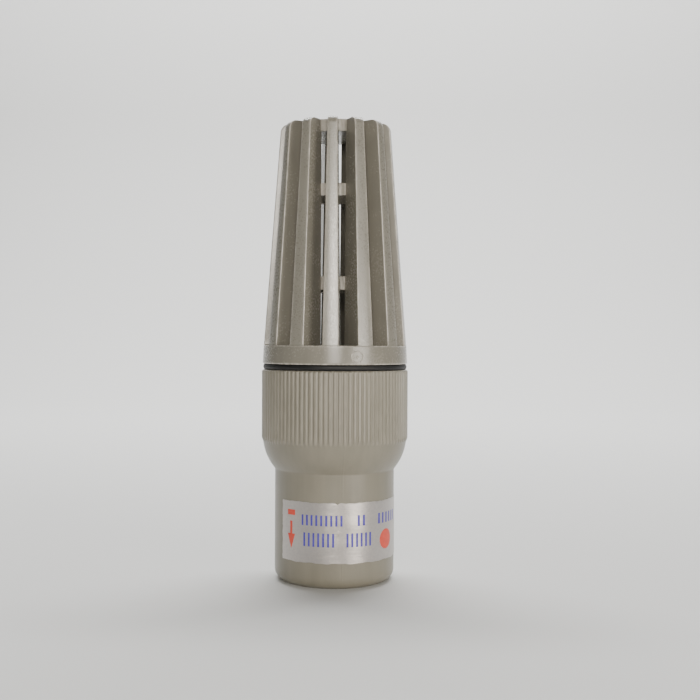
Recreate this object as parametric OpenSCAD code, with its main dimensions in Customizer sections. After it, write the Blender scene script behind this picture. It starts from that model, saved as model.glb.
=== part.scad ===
// Spring-loaded foot valve with a ribbed strainer, for a solvent-cemented suction pipe.
// It stands on its pipe end: +Z runs from the pipe socket to the strainer's closed tip.
// Water enters through the strainer, lifts the disc off its seat and leaves by the socket.

/* [Pipe socket] */
// Outside diameter of the pipe that is cemented in
pipe_od = 32; // [31.5:0.1:32.5]
// Depth of the socket, from its mouth to the pipe stop
socket_depth = 34; // [31:1:34]
// Outside diameter of the socket
socket_od = 41.9; // [41.3:0.1:42.5]
// Clearance on the radius between pipe and socket
socket_play = 0.1; // [0.05:0.05:0.2]

/* [Body] */
// Diameter over the grip flutes
grip_d = 51.4; // [51.2:0.1:51.8]
// Number of grip flutes round the body
flutes = 96; // [72:2:96]
// Depth of a grip flute
flute_depth = 0.35; // [0.3:0.05:0.5]
// Height of the body's rim above the socket mouth
body_h = 73.5; // [73.4:0.1:74]

/* [Strainer] */
// Number of ribs round the strainer
ribs = 13; // [10:1:13]
// Width of a rib where it stands on the flange
rib_base_w = 5.45; // [4.5:0.05:5.6]
// Width of a rib at the tip of the strainer
rib_tip_w = 3.35; // [3:0.05:4]
// Height of the whole valve
total_h = 159.4; // [158:0.2:162]
// Radius over the ribs at the flange
rib_base_r = 25.1; // [24.8:0.05:25.15]
// Radius over the ribs at the tip, before the tip is rounded
rib_tip_r = 19.3; // [18:0.05:20]

/* [Valve] */
// Radius of the water way through the seat
seat_r = 12.5; // [11.5:0.1:12.5]
// How far the disc lifts off its seat
lift = 7; // [5:0.5:7]
// Wire diameter of the return spring
wire_d = 0.8; // [0.6:0.1:0.8]
// Turns in the return spring
coils = 4.5; // [4:0.5:4.5]

/* [Thread] */
// Pitch of the thread between strainer and body
pitch = 2.5; // [2.5:0.1:2.6]
// Clearance on the radius between the two threads
thread_play = 0.3; // [0.2:0.05:0.35]

/* [Hidden] */
$fn = 96;

pvc = [0.56, 0.54, 0.49];
rubber = [0.08, 0.08, 0.08];
steel = [0.75, 0.75, 0.77];
acetal = [0.88, 0.87, 0.83];
foil = [0.86, 0.83, 0.80];

gap = 0.02;            // face-to-face gap between neighbouring pieces
fit_play = 0.05;       // clearance on the radius of a piece that drops into the body

// Pipe socket
socket_r = pipe_od / 2 + socket_play;
socket_outer_r = socket_od / 2;
mouth_round = 3.9;     // rounding of the socket's outer edge
mouth_chamfer = 0.3;   // lead-in for the pipe
waist_r = 13;          // bore behind the pipe stop, about the pipe's own bore
waist_h = 4;
waist_top = 40.5;
waist_flare_r = 15;

// Shoulder: one arc, tangent to the core under the grip and cut off by the socket's outside
grip_r = grip_d / 2;
grip_bottom = 48.7;
grip_top = body_h - 0.2;
core_r = grip_r - flute_depth - 0.05;
flute_root_half = 0.32; // half widths of a flute's ridge at root and tip, as parts of its pitch
flute_tip_half = 0.14;
shoulder_r = 18;
shoulder_top = 50.5;
shoulder_centre_r = core_r - shoulder_r;
shoulder_foot_angle = acos((socket_outer_r - shoulder_centre_r) / shoulder_r);

// Inside of the body
guide_z = 41;          // ledge that the stem guide stands on
guide_ring_r = 16.75;
guide_ring_h = 3.4;
chamber_r = 19.5;
chamber_bottom = 48;
seat_z = 61.5;           // ledge that the seat ring stands on
seat_ring_h = 5;
seat_ring_r = 21.15;
seat_top = seat_z + seat_ring_h;
thread_major_r = 22.5;
thread_lead = 0.9;     // height of the cone that leads into the threaded bore
rim_chamfer = 0.5;

// Thread: the body's ridge points inwards and the neck's points outwards
neck_r = 21.2;
neck_crest_r = thread_major_r - thread_play;
body_crest_r = neck_r + thread_play;
ridge_foot_w = 1.6;
ridge_crest_w = 0.7;
ridge_root = 0.3;      // depth of a ridge's foot inside its wall
body_ridge_z = 68.2;
body_ridge_turns = 1.5;
neck_ridge_z = body_ridge_z + pitch / 2;
neck_ridge_turns = 1.5;

// Rim seal and strainer flange
seal_gap = 2;        // height of the squeezed rim seal
rim_cord_r = 1.25;
flange_z = body_h + seal_gap;
flange_h = 6.4;
flange_r = 25.45;
flange_draft = 0.3;
neck_z = seat_top + 0.05;
neck_lead = 0.8;
flange_bevel = 0.3;
neck_bore_r = 17.5;
neck_bore_top = flange_z + 0.5;
slot_z = flange_z + flange_h;
cage_base_r = 14;    // inside of the ribs at the flange
cage_tip_r = 12.3;     // inside of the ribs at the cap
cap_z = 155.1;
cap_r = 13.1;
tip_round = 2.6;
hoop_proud = 0.4;      // how far a hoop stands out past the ribs' inner edges
hoop_wall = 1.6;
lower_hoop = [100.9, 105.5];
upper_hoop = [133.2, 137.4];

// Valve disc and its stack, closed
lip_z = 60.8;          // underside of the seat's sealing lip
lip_r = 13.8;
lip_w = 1;
seal_h = 2.28;
seal_r = 15;
seal_z = lip_z - gap - seal_h;
disc_z = 55.5;
disc_r = 16;
disc_rim_z = 59.3;
retainer_z = seal_z + seal_h + gap;
retainer_h = 1.6;
retainer_r = 10.5;
washer_z = retainer_z + retainer_h + gap;
washer_h = 1;
nut_z = washer_z + washer_h + gap;
nut_h = 4;
nut_af = 8;

// Stem, guide and spring
stem_r = 3;
stem_end = 35.5;
stem_tip = 68.4;
stem_thread_r = 2.5;
bolt_play = 0.05;
running_play = 0.07;
collar_r = 4.6;
collar_z = disc_z - 1.2;
boss_r = 5;
boss_bottom = 37;
boss_top = collar_z - lift - 0.05;
spring_r = 6.2;
spring_seat_r = 7.2;
guide_top = guide_z + guide_ring_h;
guide_legs = 4;
guide_leg_w = 2.2;

// Label
label_z = 9.1;
label_h = 20.2;
label_t = 0.1;
label_start = -143;
label_sweep = 201;

// Points of an arc about [cr, cz] from angle a0 to a1, in steps steps
function arc(cr, cz, r, a0, a1, steps) =
    [for (i = [0:steps]) let (a = a0 + (a1 - a0) * i / steps) [cr + r * cos(a), cz + r * sin(a)]];

// Faces of a tube whose rings of sides points follow each other, with both ends closed
function tube_faces(rings, sides) = concat(
    [[for (k = [sides - 1:-1:0]) k]],
    [for (i = [0:rings - 2], k = [0:sides - 1])
        let (a = i * sides + k, b = i * sides + (k + 1) % sides) [a, b, b + sides]],
    [for (i = [0:rings - 2], k = [0:sides - 1])
        let (a = i * sides + k, b = i * sides + (k + 1) % sides) [a, b + sides, a + sides]],
    [[for (k = [0:sides - 1]) (rings - 1) * sides + k]]);

// Radius of the cage's inside and of its outside envelope at a height
function cage_r(z) = cage_base_r + (cage_tip_r - cage_base_r) * (z - slot_z) / (cap_z - slot_z);
function envelope_r(z) = rib_base_r + (rib_tip_r - rib_base_r) * (z - slot_z) / (total_h - slot_z);
function rib_w(z) = rib_base_w + (rib_tip_w - rib_base_w) * (z - slot_z) / (total_h - slot_z);

// A right-hand helical ridge from root_r to crest_r that runs out at both ends.
// outward is 1 for a ridge on a shaft and -1 for one in a bore.
module helical_ridge(root_r, crest_r, z0, turns, outward) {
    steps_per_turn = 36;
    run_out = 5;
    steps = round(turns * steps_per_turn);
    rings = [for (i = [0:steps])
        let (a = 360 * i / steps_per_turn,
             z = z0 + pitch * i / steps_per_turn,
             rise = 0.12 + 0.88 * min(1, i / run_out, (steps - i) / run_out),
             crest = root_r + (crest_r - root_r) * rise,
             foot = outward * ridge_foot_w / 2,
             top = outward * ridge_crest_w / 2)
        for (p = [[root_r, -foot], [crest, -top], [crest, top], [root_r, foot]])
            [p[0] * cos(a), p[0] * sin(a), z + p[1]]];
    polyhedron(rings, tube_faces(steps + 1, 4), convexity = 8);
}

// A round ring from r0 to r1 and z0 to z1
module ring(r0, r1, z0, z1) {
    translate([0, 0, z0])
        difference() {
            cylinder(r = r1, h = z1 - z0);
            translate([0, 0, -1]) cylinder(r = r0, h = z1 - z0 + 2);
        }
}

// Fluted sleeve, a prism with a ridge and a groove for each flute
module grip_sleeve() {
    root_r = grip_r - flute_depth;
    ridge = [[-flute_root_half, root_r], [-flute_tip_half, grip_r],
             [flute_tip_half, grip_r], [flute_root_half, root_r]];
    outline = [for (i = [0:flutes - 1], p = ridge)
        let (a = 360 * (i + p[0]) / flutes) [p[1] * cos(a), p[1] * sin(a)]];
    translate([0, 0, grip_bottom]) linear_extrude(grip_top - grip_bottom) polygon(outline);
}

module body_outside() {
    rotate_extrude()
        polygon(concat(
            [[0, 0]],
            arc(socket_outer_r - mouth_round, mouth_round, mouth_round, -90, 0, 8),
            arc(shoulder_centre_r, shoulder_top, shoulder_r, -shoulder_foot_angle, 0, 14),
            [[core_r, body_h], [0, body_h]]));
}

// The water way through the body, from the socket's mouth to the rim
module body_inside() {
    rotate_extrude()
        polygon([
            [0, -1], [socket_r + mouth_chamfer, -1], [socket_r + mouth_chamfer, 0],
            [socket_r, 2 * mouth_chamfer], [socket_r, socket_depth],
            [waist_r, socket_depth], [waist_r, socket_depth + waist_h], [waist_flare_r, waist_top],
            [waist_flare_r, guide_z], [guide_ring_r + fit_play, guide_z],
            [guide_ring_r + fit_play, guide_z + guide_ring_h], [chamber_r, chamber_bottom],
            [chamber_r, seat_z], [seat_ring_r + fit_play, seat_z], [seat_ring_r + fit_play, seat_top],
            [thread_major_r, seat_top + thread_lead], [thread_major_r, body_h - rim_chamfer],
            [thread_major_r + rim_chamfer, body_h], [thread_major_r + rim_chamfer, body_h + 1],
            [0, body_h + 1]]);
}

module valve_body() {
    color(pvc) {
        difference() {
            union() {
                body_outside();
                grip_sleeve();
            }
            body_inside();
        }
        helical_ridge(thread_major_r + ridge_root, body_crest_r, body_ridge_z, body_ridge_turns, -1);
    }
}

module stem_guide() {
    ring_wall = 1.7;
    deck_h = 1.4;
    leg_root_r = boss_r - 1.4;     // legs reach into the boss and into the ring
    leg_tip_r = guide_ring_r - 1;
    leg_foot_z = boss_bottom + 1.5;
    color(acetal)
        difference() {
            union() {
                ring(guide_ring_r - ring_wall, guide_ring_r, guide_z + gap, guide_top);
                for (i = [0:guide_legs - 1])
                    rotate([0, 0, 45 + 360 / guide_legs * i])
                        translate([0, guide_leg_w / 2, 0])
                            rotate([90, 0, 0])
                                linear_extrude(guide_leg_w)
                                    polygon([[leg_root_r, leg_foot_z], [boss_r, leg_foot_z],
                                             [leg_tip_r, guide_z + 1], [leg_tip_r, guide_top],
                                             [leg_root_r, guide_top]]);
                translate([0, 0, boss_bottom]) cylinder(r = boss_r, h = boss_top - boss_bottom);
                translate([0, 0, guide_top - deck_h]) cylinder(r = spring_seat_r, h = deck_h);
            }
            translate([0, 0, boss_bottom - 1])
                cylinder(r = stem_r + running_play, h = boss_top - boss_bottom + 2);
        }
}

module seat_ring() {
    groove_z = seat_z + 1.3;
    groove_h = 2.2;
    groove_r = 19.6;
    color(pvc)
        rotate_extrude()
            polygon([
                [seat_r, seat_z + 0.8], [seat_r + 0.6, seat_z + gap], [lip_r - lip_w / 2, seat_z + gap],
                [lip_r - lip_w / 4, lip_z], [lip_r + lip_w / 4, lip_z], [lip_r + lip_w / 2, seat_z + gap],
                [seat_ring_r, seat_z + gap], [seat_ring_r, groove_z], [groove_r, groove_z],
                [groove_r, groove_z + groove_h], [seat_ring_r, groove_z + groove_h],
                [seat_ring_r, seat_top], [seat_r + 1.2, seat_top], [seat_r, seat_top - 1.2]]);
}

// Thin cord in the seat ring's groove
module seat_seal() {
    color(rubber)
        translate([0, 0, seat_z + 2.4])
            rotate_extrude()
                translate([20.4, 0])
                    circle(r = 0.77, $fn = 32);
}

// Return spring: one round wire whose end turns lie close together
module return_spring() {
    sides = 8;
    steps_per_turn = 20;
    steps = round(coils * steps_per_turn);
    bottom = guide_top + wire_d / 2 + gap;
    top = disc_z - wire_d / 2 - gap;
    closed = 0.75;
    closed_rise = closed * (wire_d + 0.04);
    open_rise = top - bottom - 2 * closed_rise;
    function height(t) = bottom
        + (t < closed ? t / closed * closed_rise
         : t > coils - closed ? top - bottom - (coils - t) / closed * closed_rise
         : closed_rise + (t - closed) / (coils - 2 * closed) * open_rise);
    rings = [for (i = [0:steps])
        let (a = 360 * i / steps_per_turn, z = height(i / steps_per_turn))
        for (k = [0:sides - 1])
            let (b = 360 * (k + 0.5) / sides, r = spring_r - wire_d / 2 * cos(b))
            [r * cos(a), r * sin(a), z + wire_d / 2 * sin(b)]];
    color(steel)
        polyhedron(rings, tube_faces(steps + 1, sides), convexity = 10);
}

module valve_stem() {
    color(steel)
        rotate_extrude()
            polygon([
                [0, stem_end], [stem_r - 0.6, stem_end], [stem_r, stem_end + 0.6], [stem_r, collar_z],
                [collar_r, collar_z], [collar_r, disc_z - gap], [stem_thread_r, disc_z - gap],
                [stem_thread_r, stem_tip - 0.6], [stem_thread_r - 0.6, stem_tip], [0, stem_tip]]);
}

module valve_disc() {
    web_h = 1.2;
    color(acetal) {
        rotate_extrude()
            polygon([
                [stem_thread_r + bolt_play, disc_z], [spring_seat_r - 0.2, disc_z],
                [spring_seat_r - 0.2, disc_z - web_h], [spring_seat_r + 0.8, disc_z - web_h],
                [spring_seat_r + 0.8, disc_z], [disc_r - 0.5, disc_z], [disc_r, disc_z + 0.5],
                [disc_r, disc_rim_z], [seal_r + 0.1, disc_rim_z], [seal_r + 0.1, seal_z - gap],
                [stem_thread_r + bolt_play, seal_z - gap]]);
        for (i = [0:5])
            rotate([0, 0, 60 * i])
                translate([spring_seat_r, -0.6, disc_z - web_h + 0.2])
                    cube([disc_r - spring_seat_r - 1.2, 1.2, web_h]);
    }
}

module disc_seal() {
    color(rubber)
        ring(stem_thread_r + bolt_play, seal_r, seal_z, seal_z + seal_h);
}

module seal_retainer() {
    color(steel)
        rotate_extrude()
            polygon([
                [stem_thread_r + bolt_play, retainer_z], [retainer_r - 0.4, retainer_z],
                [retainer_r, retainer_z + 0.4], [retainer_r, retainer_z + retainer_h - 0.4],
                [retainer_r - 0.4, retainer_z + retainer_h],
                [stem_thread_r + bolt_play, retainer_z + retainer_h]]);
}

// Split spring washer under the nut
module lock_washer() {
    color(steel)
        difference() {
            ring(stem_thread_r + 0.1, 4.4, washer_z, washer_z + washer_h);
            rotate([0, 0, 40]) translate([0, -0.35, washer_z - 1]) cube([6, 0.7, washer_h + 2]);
        }
}

module stem_nut() {
    color(steel)
        translate([0, 0, nut_z])
            difference() {
                intersection() {
                    cylinder(r = nut_af / sqrt(3), h = nut_h, $fn = 6);
                    cylinder(r1 = nut_af / 2 + 2.6, r2 = nut_af / 2 + 0.2, h = nut_h + 0.8);
                }
                translate([0, 0, -1]) cylinder(r = stem_thread_r + bolt_play, h = nut_h + 2);
            }
}

// Round cord squeezed flat between the rim and the flange
module rim_seal() {
    color(rubber)
        translate([0, 0, body_h + seal_gap / 2])
            rotate_extrude()
                intersection() {
                    translate([grip_r - 0.4 - rim_cord_r, 0]) circle(r = rim_cord_r, $fn = 48);
                    translate([20, gap - seal_gap / 2]) square([8, seal_gap - 2 * gap]);
                }
}

// Everything that the strainer may fill: neck, flange, ribs' envelope and rounded tip
module rib_envelope() {
    rotate_extrude()
        polygon(concat(
            [[0, slot_z - 1], [envelope_r(slot_z - 1), slot_z - 1]],
            arc(envelope_r(total_h - tip_round) - tip_round, total_h - tip_round, tip_round, 0, 90, 8),
            [[0, total_h]]));
}

// One rib as a plate that gets narrower towards the tip, before the envelope trims it
module rib_plate() {
    foot = slot_z - 1;
    rotate([90, 0, 90])
        linear_extrude(rib_base_r + 2)
            polygon([
                [-rib_w(foot) / 2, foot], [rib_w(foot) / 2, foot],
                [rib_w(total_h + 1) / 2, total_h + 1], [-rib_w(total_h + 1) / 2, total_h + 1]]);
}

// A hoop of the cage between two heights, with the cage's taper on both sides
module hoop(span) {
    inset = hoop_wall - hoop_proud;
    rotate_extrude()
        polygon([
            [cage_r(span[0]) - inset, span[0]], [cage_r(span[0]) + hoop_proud, span[0]],
            [cage_r(span[1]) + hoop_proud, span[1]], [cage_r(span[1]) - inset, span[1]]]);
}

module strainer() {
    color(pvc) {
        difference() {
            union() {
                intersection() {
                    rib_envelope();
                    union() for (i = [0:ribs - 1]) rotate([0, 0, 360 / ribs * i - 90]) rib_plate();
                }
                translate([0, 0, cap_z - 1]) cylinder(r = cap_r, h = total_h - cap_z + 1);
                rotate_extrude()
                    polygon([
                        [0, neck_z], [neck_r - neck_lead, neck_z], [neck_r, neck_z + neck_lead],
                        [neck_r, flange_z], [flange_r - flange_bevel, flange_z],
                        [flange_r, flange_z + flange_bevel],
                        [flange_r - flange_draft, slot_z], [0, slot_z]]);
            }
            rotate_extrude()
                polygon([
                    [0, neck_z - 1], [neck_bore_r, neck_z - 1], [neck_bore_r, neck_bore_top],
                    [cage_r(slot_z), slot_z], [cage_r(cap_z), cap_z], [0, cap_z]]);
        }
        hoop(lower_hoop);
        hoop(upper_hoop);
        helical_ridge(neck_r - ridge_root, neck_crest_r, neck_ridge_z, neck_ridge_turns, 1);
    }
}

module label() {
    color(foil)
        rotate([0, 0, label_start])
            rotate_extrude(angle = label_sweep)
                translate([socket_outer_r + gap, label_z])
                    square([label_t, label_h]);
}

valve_body();
stem_guide();
seat_ring();
seat_seal();
return_spring();
valve_stem();
valve_disc();
disc_seal();
seal_retainer();
lock_washer();
stem_nut();
rim_seal();
strainer();
label();
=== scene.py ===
"""Looks of a spring-loaded foot valve with a ribbed strainer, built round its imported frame.

Shapes are worked out in millimetres about the valve's axis and turned into metres when a mesh
is made. phi is the angle round the axis from the front (-Y) towards the right (+X). It is in
radians, but the angles among the named constants and in the label's functions are in degrees.
"""
import math

import bpy
import numpy as np
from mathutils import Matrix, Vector


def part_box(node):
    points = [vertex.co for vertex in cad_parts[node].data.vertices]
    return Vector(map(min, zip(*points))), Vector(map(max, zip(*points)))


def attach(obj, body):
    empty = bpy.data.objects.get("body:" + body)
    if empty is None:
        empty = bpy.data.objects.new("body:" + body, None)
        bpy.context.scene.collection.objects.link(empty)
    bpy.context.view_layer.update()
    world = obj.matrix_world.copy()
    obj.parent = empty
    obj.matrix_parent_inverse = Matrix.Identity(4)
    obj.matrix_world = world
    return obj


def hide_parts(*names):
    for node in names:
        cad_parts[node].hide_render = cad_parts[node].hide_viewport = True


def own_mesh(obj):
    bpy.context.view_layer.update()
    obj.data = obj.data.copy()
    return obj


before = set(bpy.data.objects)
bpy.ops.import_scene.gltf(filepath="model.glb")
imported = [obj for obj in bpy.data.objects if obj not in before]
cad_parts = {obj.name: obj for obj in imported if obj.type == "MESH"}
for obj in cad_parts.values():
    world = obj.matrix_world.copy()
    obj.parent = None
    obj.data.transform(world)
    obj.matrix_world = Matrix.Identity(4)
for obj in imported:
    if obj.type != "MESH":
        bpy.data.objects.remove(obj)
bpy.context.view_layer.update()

MM = 0.001


def span(node):
    """Lowest and highest corner of a CAD node, in millimetres."""
    low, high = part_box(node)
    return np.array(low) / MM, np.array(high) / MM


# ---------------------------------------------------------------- driving sizes, in mm
body_high = span("valve_body")[1]
strainer_low, strainer_high = span("strainer")
label_low, label_high = span("label")
seal_low, seal_high = span("rim_seal")
spring_low, spring_high = span("return_spring")
stem_low, stem_high = span("valve_stem")
nut_low, nut_high = span("stem_nut")
washer_low, washer_high = span("lock_washer")
retainer_low, retainer_high = span("seal_retainer")
disc_low = span("valve_disc")[0]
disc_seal_low, disc_seal_high = span("disc_seal")

RIM_Z = body_high[2]
GRIP_R = body_high[0]
SOCKET_R = 20.95
SOCKET_BORE_R = 16.1
SOCKET_DEPTH = 34.0
FLUTES = 96
FLUTE_DEPTH = 0.35
GRIP_BOTTOM = 48.7
CORE_R = GRIP_R - FLUTE_DEPTH - 0.05
SHOULDER_R = 18.0
SHOULDER_Z = 50.5
MOUTH_ROUND = 3.9
PARTING_LINES = (11.0, 191.0)

WAIST_R, WAIST_Z = 13.0, 37.7
GUIDE_BORE_R, GUIDE_Z = 16.8, 41.0
CHAMBER_R, CHAMBER_Z = 19.5, 48.0
SEAT_BORE_R, SEAT_Z, SEAT_TOP = 21.2, 61.5, 66.5
THREAD_BORE_R = 22.5
PITCH = 2.5
RIDGE_TURNS = 1.5
BODY_RIDGE_Z = 68.2
NECK_RIDGE_Z = BODY_RIDGE_Z + PITCH / 2

NECK_Z = strainer_low[2]
TIP_Z = strainer_high[2]
NECK_R = 21.2
NECK_BORE_R = 17.5
FLANGE_Z = seal_high[2] + 0.02
SLOT_Z = FLANGE_Z + 6.4
FLANGE_R = 25.45
FLANGE_TOP_R = 25.15
RIBS = 13
RIB_FOOT_W, RIB_TIP_W = 5.45, 3.35
RIB_FOOT_R, RIB_TIP_R = 25.1, 19.3
CAGE_FOOT_R, CAGE_TIP_R = 14.0, 12.3
CAP_Z = 155.1
CAP_R = 13.1
TIP_ROUND = 2.6
HOOPS = ((100.9, 105.5), (133.2, 137.4))
GATE_PHI, GATE_Z = 20.5, FLANGE_Z + 2.7

LABEL_R = SOCKET_R + 0.02
LABEL_T = 0.1
LABEL_FROM, LABEL_TO = -53.0, 148.0


# ---------------------------------------------------------------- mesh helpers
def build_mesh(name, points, faces, edge=None):
    """A mesh object from points in mm and its faces, with an edge-wear value for each point."""
    mesh = bpy.data.meshes.new(name)
    mesh.from_pydata((np.asarray(points, float) * MM).tolist(), [], faces)
    mesh.update()
    wear_and_highlight = mesh.attributes.new("edge", "FLOAT", "POINT")
    values = np.zeros(len(points)) if edge is None else np.asarray(edge, float)
    wear_and_highlight.data.foreach_set("value", values.astype(np.float32))
    piece = bpy.data.objects.new(name, mesh)
    bpy.context.scene.collection.objects.link(piece)
    return piece


def grid_faces(rows, columns, wrap_rows, wrap_columns):
    """Quads of a grid of points, rows by columns, closed on itself where a wrap is asked for."""
    r = np.arange(rows if wrap_rows else rows - 1)
    c = np.arange(columns if wrap_columns else columns - 1)
    r, c = np.meshgrid(r, c, indexing="ij")
    r_next, c_next = (r + 1) % rows, (c + 1) % columns
    quads = np.stack([r * columns + c, r_next * columns + c,
                      r_next * columns + c_next, r * columns + c_next], axis=-1)
    return quads.reshape(-1, 4).tolist()


def smooth_shading(piece, angle=32.0):
    """Smooth faces with sharp edges past angle, and normals that the large faces decide."""
    piece.data.shade_smooth()
    piece.data.set_sharp_from_angle(angle=math.radians(angle))
    weighted = piece.modifiers.new("weighted", "WEIGHTED_NORMAL")
    weighted.keep_sharp = True
    weighted.weight = 60


def rounded(corners, radii, steps=5, support=0.35):
    """Closed outline [r, z] whose corners are arcs tangent to both sides.

    Each corner with a radius becomes an arc: its ends lie radius / tan(half the corner's angle)
    along the two sides. Where there is room, a point on either side of the arc keeps the flat
    beside it flat. Returns the points and their edge values, which rise to about 1 at the middle
    of an outer arc and are 0 off the arcs.
    """
    corners = np.asarray(corners, float)
    count = len(corners)
    points, wear_and_highlight = [], []
    for i in range(count):
        here = corners[i]
        before = corners[i - 1] - here
        after = corners[(i + 1) % count] - here
        long_before, long_after = np.linalg.norm(before), np.linalg.norm(after)
        before, after = before / long_before, after / long_after
        half = math.acos(np.clip(before @ after, -1, 1)) / 2
        radius = radii[i] if np.ndim(radii) else radii
        if radius <= 0 or half > 1.5:
            points.append(here)
            wear_and_highlight.append(0.0)
            continue
        reach = min(radius / math.tan(half), 0.45 * long_before, 0.45 * long_after)
        radius = reach * math.tan(half)
        outer = after[0] * before[1] - after[1] * before[0] > 0
        start, end = here + before * reach, here + after * reach
        bisector = (before + after) / np.linalg.norm(before + after)
        centre = here + bisector * radius / math.sin(half)
        a0 = math.atan2(*(start - centre)[::-1])
        a1 = math.atan2(*(end - centre)[::-1])
        turn = (a1 - a0 + math.pi) % (2 * math.pi) - math.pi
        if reach + support < 0.48 * long_before:
            points.append(start + before * support)
            wear_and_highlight.append(0.0)
        for k in range(steps + 1):
            a = a0 + turn * k / steps
            points.append(centre + radius * np.array([math.cos(a), math.sin(a)]))
            wear_and_highlight.append((1.0 if outer else 0.0) * math.sin(math.pi * (k + 0.5) / (steps + 1)))
        if reach + support < 0.48 * long_after:
            points.append(end + after * support)
            wear_and_highlight.append(0.0)
    return np.array(points), np.array(wear_and_highlight)


def turned(name, outline, wear_and_highlight=None, sides=160, offset=None):
    """Closed solid of revolution. outline is a closed loop [r, z], counter-clockwise, clear of the
    axis. offset(phi, r, z) is added to the radius of every point."""
    phi = np.arange(sides) * 2 * np.pi / sides
    r = np.broadcast_to(outline[:, 0], (sides, len(outline))).copy()
    z = np.broadcast_to(outline[:, 1], (sides, len(outline)))
    if offset is not None:
        r += offset(phi[:, None], r, z)
    points = np.stack([r * np.sin(phi)[:, None], -r * np.cos(phi)[:, None], z], axis=-1)
    edge = None if wear_and_highlight is None else np.tile(wear_and_highlight, sides)
    return build_mesh(name, points.reshape(-1, 3), grid_faces(sides, len(outline), True, True), edge)


def turned_solid(name, outline, wear_and_highlight=None, sides=160):
    """Solid of revolution with no hole. outline is an open line [r, z] that starts on the axis at
    the bottom and ends on it at the top; each end is one point."""
    inner = outline[1:-1]
    phi = np.arange(sides) * 2 * np.pi / sides
    ring = np.stack([inner[:, 0] * np.sin(phi)[:, None], -inner[:, 0] * np.cos(phi)[:, None],
                     np.broadcast_to(inner[:, 1], (sides, len(inner)))], axis=-1).reshape(-1, 3)
    points = np.vstack([ring, [[0, 0, outline[0, 1]], [0, 0, outline[-1, 1]]]])
    columns = len(inner)
    low, high = len(ring), len(ring) + 1
    faces = grid_faces(sides, columns, True, False)
    for s in range(sides):
        t = (s + 1) % sides
        faces.append([low, t * columns, s * columns])
        faces.append([high, s * columns + columns - 1, t * columns + columns - 1])
    edge = None
    if wear_and_highlight is not None:
        edge = np.concatenate([np.tile(wear_and_highlight[1:-1], sides), [0, 0]])
    return build_mesh(name, points, faces, edge)


def tube(name, rings, edge=None):
    """Closed solid from rings (n, sides, 3) that follow each other, with both ends filled."""
    count, sides = rings.shape[:2]
    faces = grid_faces(count, sides, False, True)
    faces.append(list(range(sides)))
    faces.append([(count - 1) * sides + k for k in range(sides - 1, -1, -1)])
    return build_mesh(name, rings.reshape(-1, 3), faces, edge)


def outward(piece):
    """Turns the faces outwards if the mesh holds a negative volume."""
    mesh = piece.data
    mesh.calc_loop_triangles()
    co = np.zeros(len(mesh.vertices) * 3)
    mesh.vertices.foreach_get("co", co)
    co = co.reshape(-1, 3)
    tri = np.zeros(len(mesh.loop_triangles) * 3, np.int32)
    mesh.loop_triangles.foreach_get("vertices", tri)
    a, b, c = (co[tri.reshape(-1, 3)[:, k]] for k in range(3))
    if np.einsum("ij,ij->i", a, np.cross(b, c)).sum() < 0:
        mesh.flip_normals()
    return piece


def united(name, pieces):
    """One closed solid from pieces that run into each other."""
    base = outward(pieces[0])
    for other in pieces[1:]:
        outward(other)
        join = base.modifiers.new("join", "BOOLEAN")
        join.operation, join.solver, join.object = "UNION", "MANIFOLD", other
    graph = bpy.context.evaluated_depsgraph_get()
    mesh = bpy.data.meshes.new_from_object(base.evaluated_get(graph))
    mesh.name = name
    for piece in pieces:
        bpy.data.objects.remove(piece)
    result = bpy.data.objects.new(name, mesh)
    bpy.context.scene.collection.objects.link(result)
    return result


# ---------------------------------------------------------------- shader groups
def socket(group, name, direction, kind="NodeSocketFloat", default=None):
    """Adds a named input or output to a shader group."""
    made = group.interface.new_socket(name=name, in_out=direction, socket_type=kind)
    if default is not None:
        made.default_value = default
    return made


def math_node(tree, operation, a, b=None, clamp=False):
    """A Math node on two sockets or numbers. Returns its result."""
    node = tree.nodes.new("ShaderNodeMath")
    node.operation, node.use_clamp = operation, clamp
    for slot, value in zip(node.inputs, (a, b)):
        if value is None:
            continue
        if isinstance(value, (int, float)):
            slot.default_value = value
        else:
            tree.links.new(value, slot)
    return node.outputs[0]


def noise(tree, vector, scale, detail=3.0, stretch=(1, 1, 1)):
    """Noise read at vector, which is stretched first. Returns its value."""
    mapping = tree.nodes.new("ShaderNodeMapping")
    mapping.inputs["Scale"].default_value = stretch
    tree.links.new(vector, mapping.inputs["Vector"])
    node = tree.nodes.new("ShaderNodeTexNoise")
    node.inputs["Scale"].default_value = scale
    node.inputs["Detail"].default_value = detail
    tree.links.new(mapping.outputs[0], node.inputs["Vector"])
    return node.outputs["Fac"]


def ramp(tree, value, low, high, to_low=0.0, to_high=1.0):
    """Maps low..high to to_low..to_high, and holds it there outside."""
    node = tree.nodes.new("ShaderNodeMapRange")
    for slot, number in zip(node.inputs[1:5], (low, high, to_low, to_high)):
        slot.default_value = number
    tree.links.new(value, node.inputs[0])
    return node.outputs[0]


def blend_colour(tree, factor, a, b):
    """Mixes two colours or sockets by factor."""
    node = tree.nodes.new("ShaderNodeMix")
    node.data_type = "RGBA"
    for slot, value in ((node.inputs[0], factor), (node.inputs[6], a), (node.inputs[7], b)):
        if isinstance(value, (int, float)):
            slot.default_value = value
        elif isinstance(value, tuple):
            slot.default_value = (*value, 1.0)
        else:
            tree.links.new(value, slot)
    return node.outputs[2]


def axis_distance(tree, x, y):
    """Distance from the axis: the root of x squared plus y squared."""
    square = math_node(tree, "ADD", math_node(tree, "MULTIPLY", x, x), math_node(tree, "MULTIPLY", y, y))
    return math_node(tree, "SQRT", square)


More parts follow.
